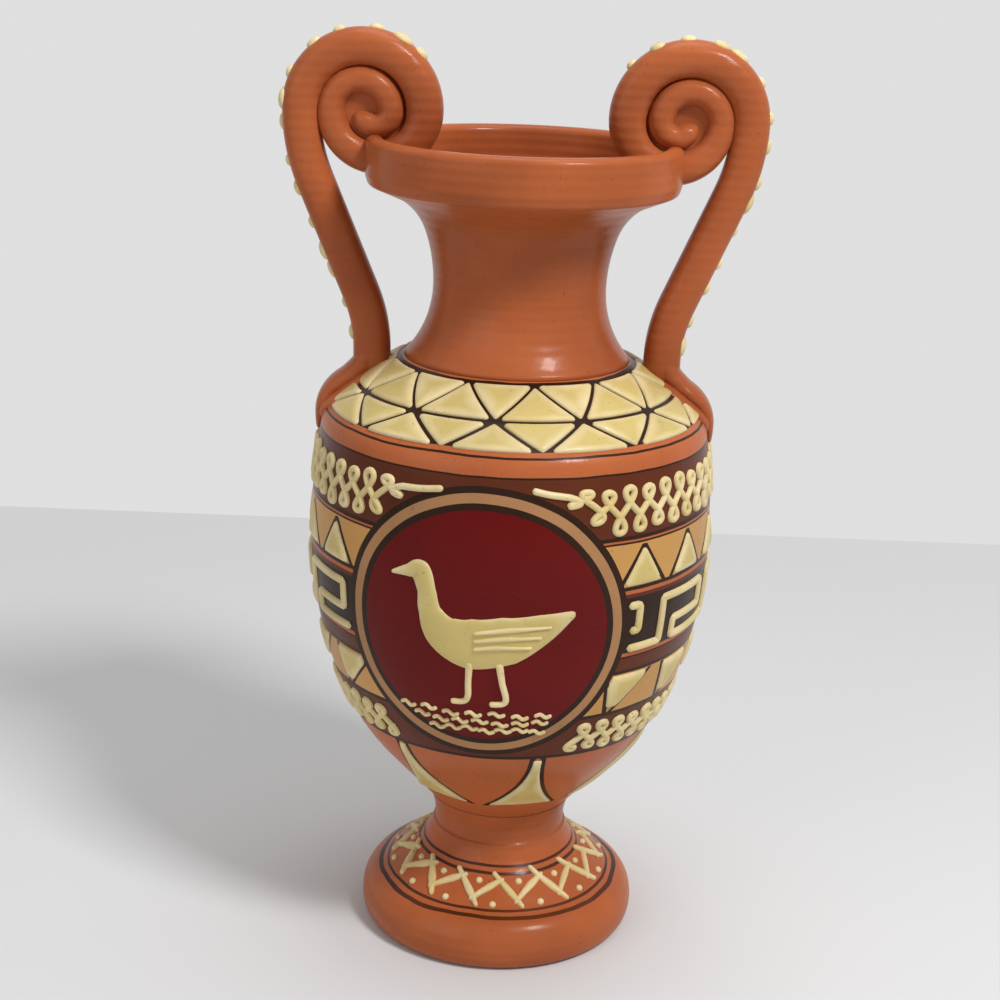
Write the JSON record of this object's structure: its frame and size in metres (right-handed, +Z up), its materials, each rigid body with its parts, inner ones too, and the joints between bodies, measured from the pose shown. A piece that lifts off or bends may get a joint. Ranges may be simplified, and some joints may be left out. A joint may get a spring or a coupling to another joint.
{
  "type": "two-handled ceramic jar",
  "caption": "Footed terracotta jar with waisted stem, swelling belly, flared mouth and two volute handles, decorated with raised slip bands; stands on its foot ring and holds liquid or stems",
  "frame": {"origin": "centre of the foot ring that the jar stands on", "axes": "+Z up along the jar's axis, X through both handles with handle_right at +X, the medallion's side faces -Y"},
  "size_m": [0.1552, 0.1335, 0.3008],
  "materials": {
    "terracotta": "clear glaze over red-brown earthenware",
    "cream_slip": "clear glaze over raised cream slip"
  },
  "bodies": {
    "root": {"foot": "terracotta", "body": "terracotta", "neck": "terracotta", "handle_right": "terracotta", "handle_left": "terracotta", "handle_dots_right": "cream_slip", "handle_dots_left": "cream_slip", "shoulder_panes": "cream_slip", "upper_triangles": "cream_slip", "meander": "cream_slip", "lower_panes": "cream_slip", "base_flares": "cream_slip", "foot_sprig": "cream_slip", "medallion_bird": "cream_slip", "upper_loops": "cream_slip", "lower_loops": "cream_slip", "foot_dots": "cream_slip", "ripples": "cream_slip"}
  },
  "joints": []
}
